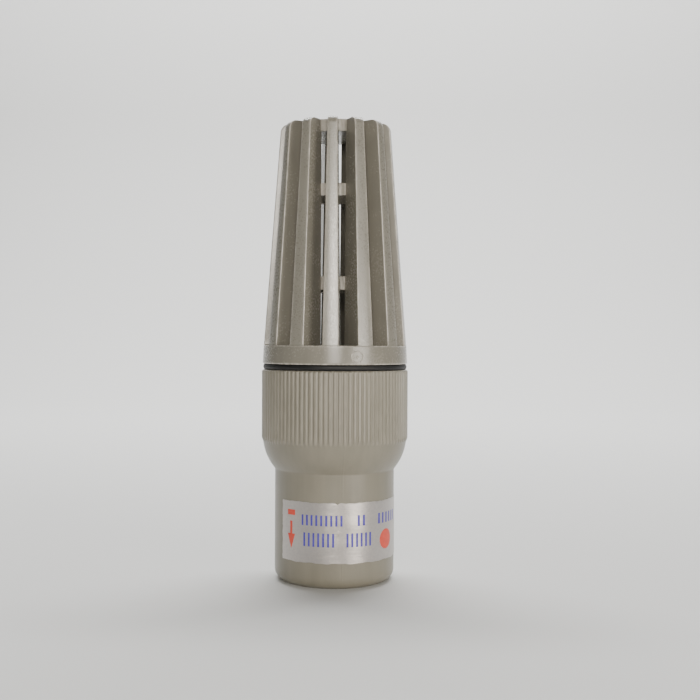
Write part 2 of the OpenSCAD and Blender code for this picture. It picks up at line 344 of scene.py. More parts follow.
def moulded_skin_group():
    """Skin of a moulding: blotchy tone, flow streaks along Z, fine pores and dust."""
    group = bpy.data.node_groups.new("moulded_skin", "ShaderNodeTree")
    socket(group, "Vector", "INPUT", "NodeSocketVector")
    socket(group, "Grain", "INPUT", default=1.0)
    for name in ("Tone", "Roughness", "Height", "Dust"):
        socket(group, name, "OUTPUT")
    start = group.nodes.new("NodeGroupInput")
    end = group.nodes.new("NodeGroupOutput")
    where = start.outputs["Vector"]
    blotch = noise(group, where, 70, 2)
    streak = noise(group, where, 420, 3, (1, 1, 0.07))
    pore = noise(group, where, 3600, 2)
    speck = noise(group, where, 1500, 1)
    tone = math_node(group, "ADD", math_node(group, "MULTIPLY", blotch, 0.6),
                     math_node(group, "MULTIPLY", streak, 0.4))
    rough = math_node(group, "ADD", math_node(group, "MULTIPLY", blotch, 0.5),
                      math_node(group, "MULTIPLY", speck, 0.5))
    height = math_node(group, "ADD", math_node(group, "MULTIPLY", pore, start.outputs["Grain"]),
                       math_node(group, "MULTIPLY", streak, 0.5))
    for name, value in (("Tone", tone), ("Roughness", rough), ("Height", height),
                        ("Dust", ramp(group, speck, 0.68, 0.76))):
        group.links.new(value, end.inputs[name])
    return group


def edge_wear_and_highlight_group():
    """Mask of pale edges, partly rubbed wear and partly painted highlight: the piece's own edge value,
    broken up by noise.
    """
    group = bpy.data.node_groups.new("edge_wear_and_highlight", "ShaderNodeTree")
    socket(group, "Vector", "INPUT", "NodeSocketVector")
    socket(group, "Amount", "INPUT", default=1.0)
    socket(group, "Mask", "OUTPUT")
    start = group.nodes.new("NodeGroupInput")
    end = group.nodes.new("NodeGroupOutput")
    edge = group.nodes.new("ShaderNodeAttribute")
    edge.attribute_name = "edge"
    broken = ramp(group, noise(group, start.outputs["Vector"], 900, 4, (1, 1, 0.22)), 0.38, 0.62, 0.3, 1.0)
    mask = math_node(group, "MULTIPLY", edge.outputs["Fac"], broken)
    mask = math_node(group, "MULTIPLY", mask, start.outputs["Amount"], clamp=True)
    group.links.new(mask, end.inputs["Mask"])
    return group


def spark_grain_group():
    """Coarse matt grain for the outer faces of the ribs.

    The mask is 1 down to 0.12 mm inside the cone through the ribs' outer faces, falls to 0 at
    0.34 mm inside it, and is 0 below the slots.
    """
    group = bpy.data.node_groups.new("spark_grain", "ShaderNodeTree")
    socket(group, "Vector", "INPUT", "NodeSocketVector")
    for name in ("Mask", "Height"):
        socket(group, name, "OUTPUT")
    start = group.nodes.new("NodeGroupInput")
    end = group.nodes.new("NodeGroupOutput")
    split = group.nodes.new("ShaderNodeSeparateXYZ")
    group.links.new(start.outputs["Vector"], split.inputs[0])
    x, y, z = split.outputs
    radius = axis_distance(group, x, y)
    face = ramp(group, z, SLOT_Z * MM, TIP_Z * MM, RIB_FOOT_R * MM, RIB_TIP_R * MM)
    depth = math_node(group, "SUBTRACT", face, radius)
    mask = math_node(group, "MULTIPLY", ramp(group, depth, 0.12 * MM, 0.34 * MM, 1.0, 0.0),
                     ramp(group, z, SLOT_Z * MM, (SLOT_Z + 0.4) * MM))
    grain = noise(group, start.outputs["Vector"], 1700, 3)
    group.links.new(mask, end.inputs["Mask"])
    group.links.new(math_node(group, "MULTIPLY", grain, mask), end.inputs["Height"])
    return group


def turned_marks_group():
    """Lathe marks: fine rings round the axis, told apart by height and by radius."""
    group = bpy.data.node_groups.new("turned_marks", "ShaderNodeTree")
    socket(group, "Vector", "INPUT", "NodeSocketVector")
    for name in ("Tone", "Height"):
        socket(group, name, "OUTPUT")
    start = group.nodes.new("NodeGroupInput")
    end = group.nodes.new("NodeGroupOutput")
    split = group.nodes.new("ShaderNodeSeparateXYZ")
    group.links.new(start.outputs["Vector"], split.inputs[0])
    x, y, z = split.outputs
    join = group.nodes.new("ShaderNodeCombineXYZ")
    group.links.new(axis_distance(group, x, y), join.inputs[0])
    group.links.new(z, join.inputs[2])
    rings = noise(group, join.outputs[0], 5200, 2)
    tone = noise(group, start.outputs["Vector"], 260, 2)
    group.links.new(tone, end.inputs["Tone"])
    group.links.new(rings, end.inputs["Height"])
    return group


SKIN = moulded_skin_group()
WEAR_AND_HIGHLIGHT = edge_wear_and_highlight_group()
SPARK = spark_grain_group()
MARKS = turned_marks_group()


# ---------------------------------------------------------------- materials
def blank_material(name, roughness, metallic=0.0):
    """A material with one Principled shader. Returns it, its tree, its shader and Object coordinates."""
    material = bpy.data.materials.new(name)
    material.use_nodes = True
    tree = material.node_tree
    shader = tree.nodes["Principled BSDF"]
    shader.inputs["Roughness"].default_value = roughness
    shader.inputs["Metallic"].default_value = metallic
    where = tree.nodes.new("ShaderNodeTexCoord").outputs["Object"]
    return material, tree, shader, where


def use_group(tree, group, where, **values):
    """Places a shader group that reads where, with its own values."""
    node = tree.nodes.new("ShaderNodeGroup")
    node.node_tree = group
    tree.links.new(where, node.inputs["Vector"])
    for name, value in values.items():
        node.inputs[name].default_value = value
    return node


def bump(tree, shader, height, distance, under=None):
    """Feeds height, in parts of distance (mm), to the shader's normal, on top of the normal under it."""
    node = tree.nodes.new("ShaderNodeBump")
    node.inputs["Distance"].default_value = distance * MM
    tree.links.new(height, node.inputs["Height"])
    if under is not None:
        tree.links.new(under, node.inputs["Normal"])
    tree.links.new(node.outputs[0], shader.inputs["Normal"])
    return node.outputs[0]


def moulded_plastic(name, dark, light, rubbed_and_lit, roughness, wear_and_highlight_amount=0.55, strainer=False):
    """Moulded plastic between two tones, with pale edges that are partly rubbed wear and partly
    painted highlight. The strainer's has a grain on the ribs' outer faces, and any other has a little dust."""
    material, tree, shader, where = blank_material(name, roughness)
    skin = use_group(tree, SKIN, where, Grain=0.5)
    wear_and_highlight = use_group(tree, WEAR_AND_HIGHLIGHT, where, Amount=wear_and_highlight_amount)
    colour = blend_colour(tree, ramp(tree, skin.outputs["Tone"], 0.35, 0.65), dark, light)
    # pale edge tone over the edges: partly rubbed wear, partly painted highlight along edges that catch the
    # light
    colour = blend_colour(tree, wear_and_highlight.outputs["Mask"], colour, rubbed_and_lit)
    dusty = math_node(tree, "MULTIPLY", skin.outputs["Dust"], 0.0 if strainer else 0.05)
    colour = blend_colour(tree, dusty, colour, rubbed_and_lit)
    rough = ramp(tree, skin.outputs["Roughness"], 0.3, 0.7, roughness - 0.05, roughness + 0.07)
    normal = bump(tree, shader, skin.outputs["Height"], 0.012)
    if strainer:
        spark = use_group(tree, SPARK, where)
        shader.inputs["Coat Roughness"].default_value = 0.24
        glare = ramp(tree, spark.outputs["Mask"], 0.0, 1.0, 0.0, 0.7)
        tree.links.new(glare, shader.inputs["Coat Weight"])
        rough = math_node(tree, "ADD", rough, ramp(tree, spark.outputs["Height"], 0.4, 0.65, 0.0, 0.22))
        bump(tree, shader, spark.outputs["Height"], 0.05, under=normal)
    tree.links.new(colour, shader.inputs["Base Color"])
    tree.links.new(rough, shader.inputs["Roughness"])
    return material


def rubber(name, tone):
    """Black rubber with a dull bloom and a fine skin."""
    material, tree, shader, where = blank_material(name, 0.38)
    shader.inputs["Specular IOR Level"].default_value = 0.3
    skin = use_group(tree, SKIN, where, Grain=1.0)
    bloom = tuple(3.2 * t + 0.008 for t in tone)
    colour = blend_colour(tree, ramp(tree, skin.outputs["Tone"], 0.4, 0.75, 0.0, 0.5), tone, bloom)
    tree.links.new(colour, shader.inputs["Base Color"])
    tree.links.new(ramp(tree, skin.outputs["Roughness"], 0.3, 0.7, 0.42, 0.60), shader.inputs["Roughness"])
    bump(tree, shader, skin.outputs["Height"], 0.02)
    return material


def turned_steel(name, tone, roughness):
    """Stainless steel with lathe marks."""
    material, tree, shader, where = blank_material(name, roughness, metallic=1.0)
    marks = use_group(tree, MARKS, where)
    dull = tuple(0.78 * t for t in tone)
    colour = blend_colour(tree, ramp(tree, marks.outputs["Tone"], 0.35, 0.65), dull, tone)
    tree.links.new(colour, shader.inputs["Base Color"])
    tree.links.new(ramp(tree, marks.outputs["Height"], 0.3, 0.7, roughness - 0.06, roughness + 0.1),
                   shader.inputs["Roughness"])
    bump(tree, shader, marks.outputs["Height"], 0.01)
    return material


def foil(name):
    """Silver sticker foil: metal with fine flecks in its colour and roughness. Fine grooves round
    the socket, over a soft mottle, spread a reflection up and down."""
    material, tree, shader, where = blank_material(name, 0.34, metallic=0.95)
    mottle = noise(tree, where, 160, 3)
    fleck = noise(tree, where, 1400, 2)
    colour = blend_colour(tree, ramp(tree, fleck, 0.35, 0.68), (0.45, 0.42, 0.405), (0.50, 0.468, 0.44))
    tree.links.new(colour, shader.inputs["Base Color"])
    tree.links.new(ramp(tree, fleck, 0.3, 0.7, 0.28, 0.34), shader.inputs["Roughness"])
    groove = noise(tree, where, 7000, 1, (0.02, 0.02, 1))
    relief = math_node(tree, "ADD", groove, math_node(tree, "MULTIPLY", mottle, 0.6))
    bump(tree, shader, relief, 0.03)
    return material


def ink(name, tone):
    """Printed ink, a little uneven in cover."""
    material, tree, shader, where = blank_material(name, 0.42)
    thin = tuple(1.15 * t + 0.01 for t in tone)
    cover = ramp(tree, noise(tree, where, 700, 3), 0.42, 0.66)
    tree.links.new(blend_colour(tree, cover, tone, thin), shader.inputs["Base Color"])
    tree.links.new(ramp(tree, cover, 0.0, 1.0, 0.36, 0.5), shader.inputs["Roughness"])
    return material


# the third grey is the body's pale edge tone, partly rubbed wear and partly painted highlight on its rim
# and flute ridges
GREY_DARK, GREY_LIGHT, GREY_RUBBED_AND_LIT = (0.180, 0.166, 0.130), (0.213, 0.197, 0.155), (0.39, 0.36, 0.305)
BODY_PLASTIC = moulded_plastic("body_plastic", GREY_DARK, GREY_LIGHT, GREY_RUBBED_AND_LIT, 0.33)
# the strainer's pale edge tone and its high amount are painted highlight along the ribs' corners and over
# the hoops, with a little rubbed wear
STRAINER_PLASTIC = moulded_plastic("strainer_plastic", (0.176, 0.166, 0.139), (0.209, 0.197, 0.165),
                                   (0.58, 0.54, 0.48), 0.24, 0.85, strainer=True)
GUIDE_PLASTIC = moulded_plastic("guide_plastic", (0.66, 0.64, 0.57), (0.74, 0.72, 0.66),
                                (0.8, 0.79, 0.75), 0.36)
BLACK_RUBBER = rubber("black_rubber", (0.008, 0.008, 0.008))
STEEL = turned_steel("turned_steel", (0.66, 0.66, 0.67), 0.26)
SPRING_STEEL = turned_steel("spring_steel", (0.60, 0.60, 0.62), 0.22)
FOIL = foil("label_foil")
BLUE_INK = ink("blue_ink", (0.055, 0.04, 0.34))
RED_INK = ink("red_ink", (0.58, 0.05, 0.025))


def dress(piece, body, material, slot, *nodes, angle=32.0, weighted=True):
    """Gives a new piece its finish and its body, and says which CAD nodes it stands for."""
    piece.data.materials.clear()
    piece.data.materials.append(material)
    outward(piece)
    if weighted:
        smooth_shading(piece, angle)
    else:
        piece.data.shade_smooth()
    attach(piece, body)
    if nodes:
        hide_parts(*nodes)
    return piece


# ---------------------------------------------------------------- valve body
def flute_angles():
    """Angles round the grip, eight to a flute: groove floor, flank foot, flank top and ridge."""
    within = np.array([-0.5, -0.40, -0.31, -0.20, -0.07, 0.07, 0.20, 0.31])
    return ((np.arange(FLUTES)[:, None] + within) * 2 * np.pi / FLUTES).reshape(-1)


def flute_rise(phi):
    """Height of the ridge over the core at an angle: a flat-topped cosine, one to each flute."""
    wave = 0.5 + 0.5 * np.cos(FLUTES * phi)
    return FLUTE_DEPTH * np.clip(1.9 * (wave - 0.18), 0, 1) ** 0.8


def body_outline():
    """Closed loop [r, z] of the body's wall: up the outside and down the water way."""
    centre = CORE_R - SHOULDER_R
    foot = math.acos((SOCKET_R - centre) / SHOULDER_R)
    a = np.linspace(-foot, 0, 20)
    shoulder = np.stack([centre + SHOULDER_R * np.cos(a), SHOULDER_Z + SHOULDER_R * np.sin(a)], axis=-1)
    b = np.linspace(-np.pi / 2, 0, 12)
    mouth = np.stack([SOCKET_R - MOUTH_ROUND + MOUTH_ROUND * np.cos(b),
                      MOUTH_ROUND + MOUTH_ROUND * np.sin(b)], axis=-1)
    wall = np.array([[SOCKET_R, z] for z in np.linspace(5.5, shoulder[0, 1] - 0.25, 14)])
    grip = np.array([[CORE_R, z] for z in (51.3, 55, 60, 65, 70, RIM_Z - 1.1, RIM_Z - 0.75, RIM_Z - 0.5)])
    rim = np.array([[CORE_R, RIM_Z - 0.3], [CORE_R - 0.09, RIM_Z - 0.09], [CORE_R - 0.3, RIM_Z]])
    inside = np.array([
        [THREAD_BORE_R + 0.6, RIM_Z], [THREAD_BORE_R + 0.35, RIM_Z - 0.12], [THREAD_BORE_R, RIM_Z - 0.5],
        [THREAD_BORE_R, SEAT_TOP + 0.9], [SEAT_BORE_R, SEAT_TOP], [SEAT_BORE_R, SEAT_Z],
        [CHAMBER_R + 0.2, SEAT_Z], [CHAMBER_R, SEAT_Z - 0.2], [CHAMBER_R, CHAMBER_Z],
        [GUIDE_BORE_R, CHAMBER_Z - 3.6], [GUIDE_BORE_R, GUIDE_Z], [WAIST_R + 2, GUIDE_Z],
        [WAIST_R + 2, GUIDE_Z - 0.5], [WAIST_R + 0.1, WAIST_Z + 0.3], [WAIST_R, WAIST_Z],
        [WAIST_R, SOCKET_DEPTH + 0.2], [WAIST_R + 0.2, SOCKET_DEPTH],
        [SOCKET_BORE_R, SOCKET_DEPTH], [SOCKET_BORE_R, 20], [SOCKET_BORE_R, 0.6], [SOCKET_BORE_R + 0.3, 0]])
    outline = np.vstack([mouth, wall, shoulder, grip, rim, inside])
    wear_and_highlight = np.zeros(len(outline))
    first_rim = len(mouth) + len(wall) + len(shoulder) + len(grip)
    wear_and_highlight[first_rim:first_rim + 3] = (0.8, 1.0, 0.6)
    return outline, wear_and_highlight


def body_offset(phi, r, z):
    """What is added to the body's radius: flutes on the grip, and the mould's two parting lines."""
    up = np.clip((z - (GRIP_BOTTOM - 0.1)) / 0.9, 0, 1)
    down = np.clip((RIM_Z - 0.1 - z) / 0.45, 0, 1)
    ends = (up * up * (3 - 2 * up)) * (down * down * (3 - 2 * down))
    outside = r > SOCKET_R - 0.2
    flutes = np.where(outside & (z > GRIP_BOTTOM - 0.2), (0.05 + flute_rise(phi)) * ends, 0)
    line = 0
    for at in PARTING_LINES:
        away = (np.degrees(phi) - at + 180) % 360 - 180
        line = line + 0.07 * np.exp(-(away / 0.32) ** 2)
    seam = np.where(outside & (z > 3.0) & (z < GRIP_BOTTOM), line, 0)
    return flutes + seam


def make_body():
    """The body as one closed skin over a grid of angle by outline."""
    outline, wear_and_highlight = body_outline()
    phi = flute_angles()
    r = np.broadcast_to(outline[:, 0], (len(phi), len(outline))).copy()
    z = np.broadcast_to(outline[:, 1], r.shape)
    r = r + body_offset(phi[:, None], r, z)
    points = np.stack([r * np.sin(phi)[:, None], -r * np.cos(phi)[:, None], z], axis=-1)
    edge = np.tile(wear_and_highlight, (len(phi), 1))
    # the flute ridges' tops take part of the pale edge tone, so they are lighter than the grooves: painted
    # highlight, with a little rubbed wear
    ridge = flute_rise(phi)[:, None] / FLUTE_DEPTH
    on_grip = (z > GRIP_BOTTOM) & (r > SOCKET_R)
    edge = np.where(on_grip, np.maximum(edge, 0.45 * ridge), edge)
    faces = grid_faces(len(phi), len(outline), True, True)
    piece = build_mesh("body_shell", points.reshape(-1, 3), faces, edge.reshape(-1))
    return dress(piece, "housing", BODY_PLASTIC, "grey_pvc", "valve_body", angle=40)


def make_thread(name, root_r, crest_r, z0, side, body, material):
    """A right-hand ridge: a round-topped section carried along a helix, fading out at both ends."""
    per_turn = 72
    steps = int(RIDGE_TURNS * per_turn)
    t = np.arange(steps + 1)
    fade = 0.12 + 0.88 * np.clip(np.minimum(t, steps - t) / 10, 0, 1)
    section = np.array([[0, -0.8], [0.55, -0.62], [0.9, -0.42], [1, -0.2],
                        [1, 0.2], [0.9, 0.42], [0.55, 0.62], [0, 0.8]])
    theta = t * 2 * np.pi / per_turn
    r = root_r + (crest_r - root_r) * section[:, 0] * fade[:, None]
    z = z0 + PITCH * t[:, None] / per_turn + side * section[:, 1]
    rings = np.stack([r * np.cos(theta)[:, None], r * np.sin(theta)[:, None], z], axis=-1)
    return dress(tube(name, rings), body, material, "grey_pvc")


# ---------------------------------------------------------------- strainer
def taper(z, foot, tip):
    """A size that goes evenly from foot at the flange to tip at the strainer's tip."""
    return foot + (tip - foot) * (z - SLOT_Z) / (TIP_Z - SLOT_Z)


def rib_rings():
    """Rings of one rib: a rounded section [across, outward], carried up the cage.

    Its outer face follows the cone of all the ribs, its two outer corners are small arcs, its
    flanks flare a little into the flange, and its top turns inwards on a larger arc.
    """
    corner = 0.28
    z = np.concatenate([[SLOT_Z - 0.8, SLOT_Z, SLOT_Z + 0.08, SLOT_Z + 0.2, SLOT_Z + 0.45],
                        np.linspace(SLOT_Z + 2.5, TIP_Z - TIP_ROUND, 26),
                        TIP_Z - TIP_ROUND + TIP_ROUND * np.sin(np.linspace(0.12, np.pi / 2, 12))])
    half = taper(z, RIB_FOOT_W, RIB_TIP_W) / 2
    foot_flare = 0.35 * np.clip(1 - (z - SLOT_Z) / 0.45, 0, 1) ** 2
    end_round = np.clip((z - (TIP_Z - 0.3)) / 0.3, 0, 1)
    half = half + foot_flare - 0.3 * (1 - np.sqrt(1 - end_round ** 2))
    face = taper(z, RIB_FOOT_R, RIB_TIP_R)
    over = np.clip((z - (TIP_Z - TIP_ROUND)) / TIP_ROUND, 0, 1)
    face = face - TIP_ROUND * (1 - np.sqrt(1 - over ** 2))
    inner = CAGE_FOOT_R + (CAGE_TIP_R - CAGE_FOOT_R) * np.clip((z - SLOT_Z) / (CAP_Z - SLOT_Z), 0, 1)
    turn = np.linspace(0, np.pi / 2, 5)
    right = np.stack([-corner + corner * np.cos(turn), -corner + corner * np.sin(turn)], axis=-1)
    across = np.linspace(-1, 1, 7)[1:-1]
    rings = []
    for h, f, i in zip(half, face, inner):
        reach = np.array([i, i + 0.5, i + 0.5 * (f - i), f - corner - 0.5])
        ring = [[h, s] for s in reach]
        ring += [[h + dx, f + dy] for dx, dy in right]
        ring += [[-a * (h - corner - 0.15), f + 0.02] for a in across]
        ring += [[-h - dx, f + dy] for dx, dy in right[::-1]]
        ring += [[-h, s] for s in reach[::-1]]
        ring = np.array(ring)
        curve = f - np.sqrt(np.maximum(f * f - ring[:, 0] ** 2, 0))
        ring[:, 1] -= np.where(ring[:, 1] > f - corner - 0.01, curve, 0)
        rings.append(ring)
    sections = np.array(rings)
    wear_and_highlight = np.zeros(sections.shape[1])
    # the ribs' outer corners take the pale edge tone: painted highlight along them, with a little rubbed
    # wear
    wear_and_highlight[4:9] = (0.2, 0.8, 1.0, 0.8, 0.3)
    wear_and_highlight[14:19] = wear_and_highlight[4:9][::-1]
    return sections, z, np.tile(wear_and_highlight, (len(z), 1))


def make_rib(index, sections, z, wear_and_highlight):
    """One rib, turned to its place in the row of ribs."""
    phi = 2 * np.pi * index / RIBS
    across, out = sections[..., 0], sections[..., 1]
    height = np.broadcast_to(z[:, None], across.shape)
    x = across * np.cos(phi) + out * np.sin(phi)
    y = across * np.sin(phi) - out * np.cos(phi)
    return tube(f"rib_{index}", np.stack([x, y, height], axis=-1), wear_and_highlight.reshape(-1))


def on_flange(across, up, out):
    """Point on the flange's drafted face, from the gate mark's middle: across, up and outwards."""
    z = GATE_Z + up
    r = FLANGE_R + (FLANGE_TOP_R - FLANGE_R) * (z - FLANGE_Z) / (SLOT_Z - FLANGE_Z) + out
    phi = np.radians(GATE_PHI) + across / FLANGE_R
    return np.stack([r * np.sin(phi), -r * np.cos(phi), z], axis=-1)


def make_gate_mark():
    """Gate mark: a low ring with an oval section carried round a circle, and a small domed pip."""
    t = (np.arange(48) * 2 * np.pi / 48)[:, None]
    s = np.arange(10) * 2 * np.pi / 10
    reach = 1.9 + 0.22 * np.cos(s)
    ring = on_flange(reach * np.cos(t), reach * np.sin(t), 0.11 * np.sin(s) + 0 * t)
    ring = build_mesh("gate_ring", ring.reshape(-1, 3), grid_faces(48, 10, True, True), np.full(480, 0.5))
    size, rise = np.array([[0.5, 0.5, 0.42, 0.26, 0.06], [-0.3, 0.0, 0.07, 0.11, 0.12]])[:, :, None]
    t = np.arange(20) * 2 * np.pi / 20
    pip = tube("gate_pip", on_flange(size * np.cos(t), size * np.sin(t), rise + 0 * t), np.full(100, 0.5))
    return [ring, pip]


def make_strainer():
    """The strainer: flange and neck, ribs, hoops and cap, joined into one solid."""
    flange, flange_wear_and_highlight = rounded(
        [[NECK_R - 0.9, NECK_Z], [NECK_R, NECK_Z + 0.9], [NECK_R, FLANGE_Z], [FLANGE_R, FLANGE_Z],
         [FLANGE_TOP_R, SLOT_Z], [CAGE_FOOT_R, SLOT_Z], [NECK_BORE_R, FLANGE_Z + 0.5],
         [NECK_BORE_R, NECK_Z]],
        [0.2, 0.2, 0.15, 0.4, 0.3, 0.1, 0.3, 0.3])
    pieces = [turned("flange", flange, flange_wear_and_highlight, sides=256)]
    sections, z, wear_and_highlight = rib_rings()
    pieces += [make_rib(i, sections, z, wear_and_highlight) for i in range(RIBS)]
    for number, (low, high) in enumerate(HOOPS):
        inner = CAGE_FOOT_R + (CAGE_TIP_R - CAGE_FOOT_R) * ((low + high) / 2 - SLOT_Z) / (CAP_Z - SLOT_Z)
        outline, hoop_wear_and_highlight = rounded([[inner - 1.2, low], [inner + 0.4, low], [inner + 0.4, high],
                                      [inner - 1.2, high]], 0.25)
        # the hoops' whole outer face takes the full edge value, so the pale edge tone there is a painted
        # highlight
        hoop_wear_and_highlight = np.where(outline[:, 0] > inner, 1.0, hoop_wear_and_highlight)
        pieces.append(turned(f"hoop_{number}", outline, hoop_wear_and_highlight, sides=156))
    top = np.array([[0, CAP_Z], [CAP_R - 0.6, CAP_Z], [CAP_R - 0.2, CAP_Z + 0.12], [CAP_R, CAP_Z + 0.5],
                    [CAP_R, CAP_Z + 2], [CAP_R, TIP_Z - 0.5], [CAP_R - 0.12, TIP_Z - 0.14],
                    [CAP_R - 0.5, TIP_Z - 0.01], [5, TIP_Z - 0.01], [1.9, TIP_Z - 0.01],
                    [1.7, TIP_Z - 0.35], [1.0, TIP_Z - 0.35], [0.85, TIP_Z - 0.1], [0, TIP_Z - 0.1]])
    pieces.append(turned_solid("cap", top, np.where(top[:, 0] > CAP_R - 0.3, 0.6, 0.0), sides=156))
    pieces += make_gate_mark()
    piece = united("strainer_cage", pieces)
    return dress(piece, "basket", STRAINER_PLASTIC, "grey_pvc", "strainer", angle=34)


# ---------------------------------------------------------------- seals
def make_rim_seal():
    """Squeezed cord: a circle whose top and bottom are pressed flat, with a thin flash line."""
    a = np.arange(40) * 2 * np.pi / 40
    half = (seal_high[2] - seal_low[2]) / 2
    middle = (seal_high[2] + seal_low[2]) / 2
    cord = 1.25
    rise = half * np.tanh(1.6 * np.sin(a)) / np.tanh(1.6)
    flash = 0.05 * np.exp(-(np.sin(a) / 0.09) ** 2) * (np.cos(a) > 0)
    outline = np.stack([seal_high[0] - cord - 0.05 + cord * np.cos(a) + flash, middle + rise], axis=-1)

    def uneven(phi, r, z):
        return 0.025 * np.sin(5 * phi + 0.7) + 0.015 * np.sin(11 * phi)

    piece = turned("rim_ring_seal", outline, sides=256, offset=uneven)
    return dress(piece, "rim_ring", BLACK_RUBBER, "black_rubber", "rim_seal", weighted=False)


def make_round_part(name, corners, radii, node, body, material, slot, sides=128):
    """A round part with eased corners that stands for one CAD node."""
    outline, wear_and_highlight = rounded(corners, radii, steps=4)
    return dress(turned(name, outline, wear_and_highlight, sides), body, material, slot, node)


# ---------------------------------------------------------------- valve stack
def make_spring():
    """Return spring: a round wire along a helix whose end turns close up."""
    per_turn, sides, coils, wire = 56, 14, 4.5, 0.8
    mean_r = spring_high[0] - wire / 2
    steps = int(per_turn * coils)
    t = np.arange(steps + 1) / per_turn
    bottom, top = spring_low[2] + wire / 2, spring_high[2] - wire / 2
    closed = 0.75
    closed_rise = closed * (wire + 0.04)
    slope = (top - bottom - 2 * closed_rise) / (coils - 2 * closed)
    z = np.where(t < closed, bottom + t / closed * closed_rise, bottom + closed_rise + (t - closed) * slope)
    z = np.where(t > coils - closed, top - (coils - t) / closed * closed_rise, z)
    a = 2 * np.pi * np.arange(sides) / sides
    theta = 2 * np.pi * t
    r = mean_r + wire / 2 * np.cos(a)
    height = z[:, None] + wire / 2 * np.sin(a)
    rings = np.stack([r * np.cos(theta)[:, None], r * np.sin(theta)[:, None], height], axis=-1)
    piece = dress(tube("coil_spring", rings), "housing", SPRING_STEEL, "stainless", "return_spring",
                  weighted=False)
    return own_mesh(piece)


def make_stem():
    """Stem with a collar, and a rolled thread where the nut is."""
    thread_from = 61.1
    profile = [[0, stem_low[2]], [1.9, stem_low[2]], [2.4, stem_low[2] + 0.05], [2.85, stem_low[2] + 0.35],
               [3, stem_low[2] + 0.7], [3, 45], [3, disc_low[2] + 0.1], [4.4, disc_low[2] + 0.22],
               [4.6, disc_low[2] + 0.42], [4.6, disc_low[2] + 1.1], [2.5, disc_low[2] + 1.36],
               [2.5, thread_from - 0.1]]
    profile += [[2.5, z] for z in np.arange(thread_from, stem_high[2] - 0.5, 0.1)]
    profile += [[2.2, stem_high[2] - 0.35], [1.9, stem_high[2]], [0, stem_high[2]]]
    profile = np.array(profile)
    piece = turned_solid("stem_turned", profile, sides=96)
    co = np.zeros(len(piece.data.vertices) * 3)
    piece.data.vertices.foreach_get("co", co)
    co = co.reshape(-1, 3)
    theta = np.arctan2(co[:, 1], co[:, 0])
    r = np.hypot(co[:, 0], co[:, 1])
    z = co[:, 2] / MM
    groove = 0.5 - 0.5 * np.cos(2 * np.pi * (z / 0.8 - theta / (2 * np.pi)))
    threaded = (z > thread_from + 0.2) & (z < stem_high[2] - 0.45) & (r > 2.3 * MM)
    cut = np.where(threaded, 0.42 * groove, 0) * MM
    scale = np.where(r > 0, (r - cut) / np.maximum(r, 1e-9), 1)
    co[:, :2] *= scale[:, None]
    piece.data.vertices.foreach_set("co", co.reshape(-1))
    piece.data.update()
    return dress(piece, "poppet", STEEL, "stainless", "valve_stem")


def make_nut():
    """Hexagon nut: the flats' distance is the apothem over the cosine of the angle from the flat's
    middle, and a cone at either end cuts the corners back."""
    apothem, bore = 4.0, 2.55
    low, high = nut_low[2], nut_high[2]
    z = np.array([low, low + 0.25, low + 0.6, (low + high) / 2, high - 0.6, high - 0.25, high])
    theta = np.radians(np.arange(0, 360, 2.5))
    flat = apothem / np.cos((theta + np.pi / 6) % (np.pi / 3) - np.pi / 6)
    cone = apothem + 0.02 + np.minimum(z - low, high - z) * 1.35
    outer = np.minimum(flat[:, None], cone[None, :])
    inner_z = np.array([high, high - 0.3, low + 0.3, low])
    inner = np.broadcast_to([bore + 0.25, bore, bore, bore + 0.25], (len(theta), 4))
    r = np.hstack([outer, inner])
    heights = np.broadcast_to(np.concatenate([z, inner_z]), r.shape)
    points = np.stack([r * np.cos(theta)[:, None], r * np.sin(theta)[:, None], heights], axis=-1)
    piece = build_mesh("hex_nut", points.reshape(-1, 3), grid_faces(*r.shape, True, True))
    return dress(piece, "poppet", STEEL, "stainless", "stem_nut", angle=22)


def make_lock_washer():
    """Split washer: a rectangular section with rounded corners, carried round to a gap."""
    low, high = washer_low[2] + 0.01, washer_high[2] - 0.01
    section, _ = rounded([[2.6, low], [4.4, low], [4.4, high], [2.6, high]], 0.12, steps=3, support=9)
    theta = np.radians(np.linspace(45, 395, 100))
    rings = np.stack([section[:, 0] * np.cos(theta)[:, None], section[:, 0] * np.sin(theta)[:, None],
                      np.broadcast_to(section[:, 1], (len(theta), len(section)))], axis=-1)
    return dress(tube("split_washer", rings), "poppet", STEEL, "stainless", "lock_washer")


# ---------------------------------------------------------------- label
def foil_radius(phi, z):
    """Radius of the foil's outer face: the socket's, with shallow wrinkles and one small bubble."""
    wrinkle = 0.018 * np.sin(phi / 7.0 + 0.5 * z) * np.sin(phi / 19.0)
    wrinkle = wrinkle + 0.012 * np.sin(0.9 * z + phi / 23.0)
    bubble = 0.10 * np.exp(-((phi - 8.0) / 1.3) ** 2 - ((z - 19.5) / 0.45) ** 2)
    return LABEL_R + LABEL_T + 0.03 + wrinkle + bubble


def on_label(phi, z, proud=0.0):
    """Point on the foil at an angle in degrees and a height, standing proud of it."""
    r = foil_radius(phi, z) + proud
    a = np.radians(phi)
    return np.stack([r * np.sin(a), -r * np.cos(a), z + 0 * phi], axis=-1)


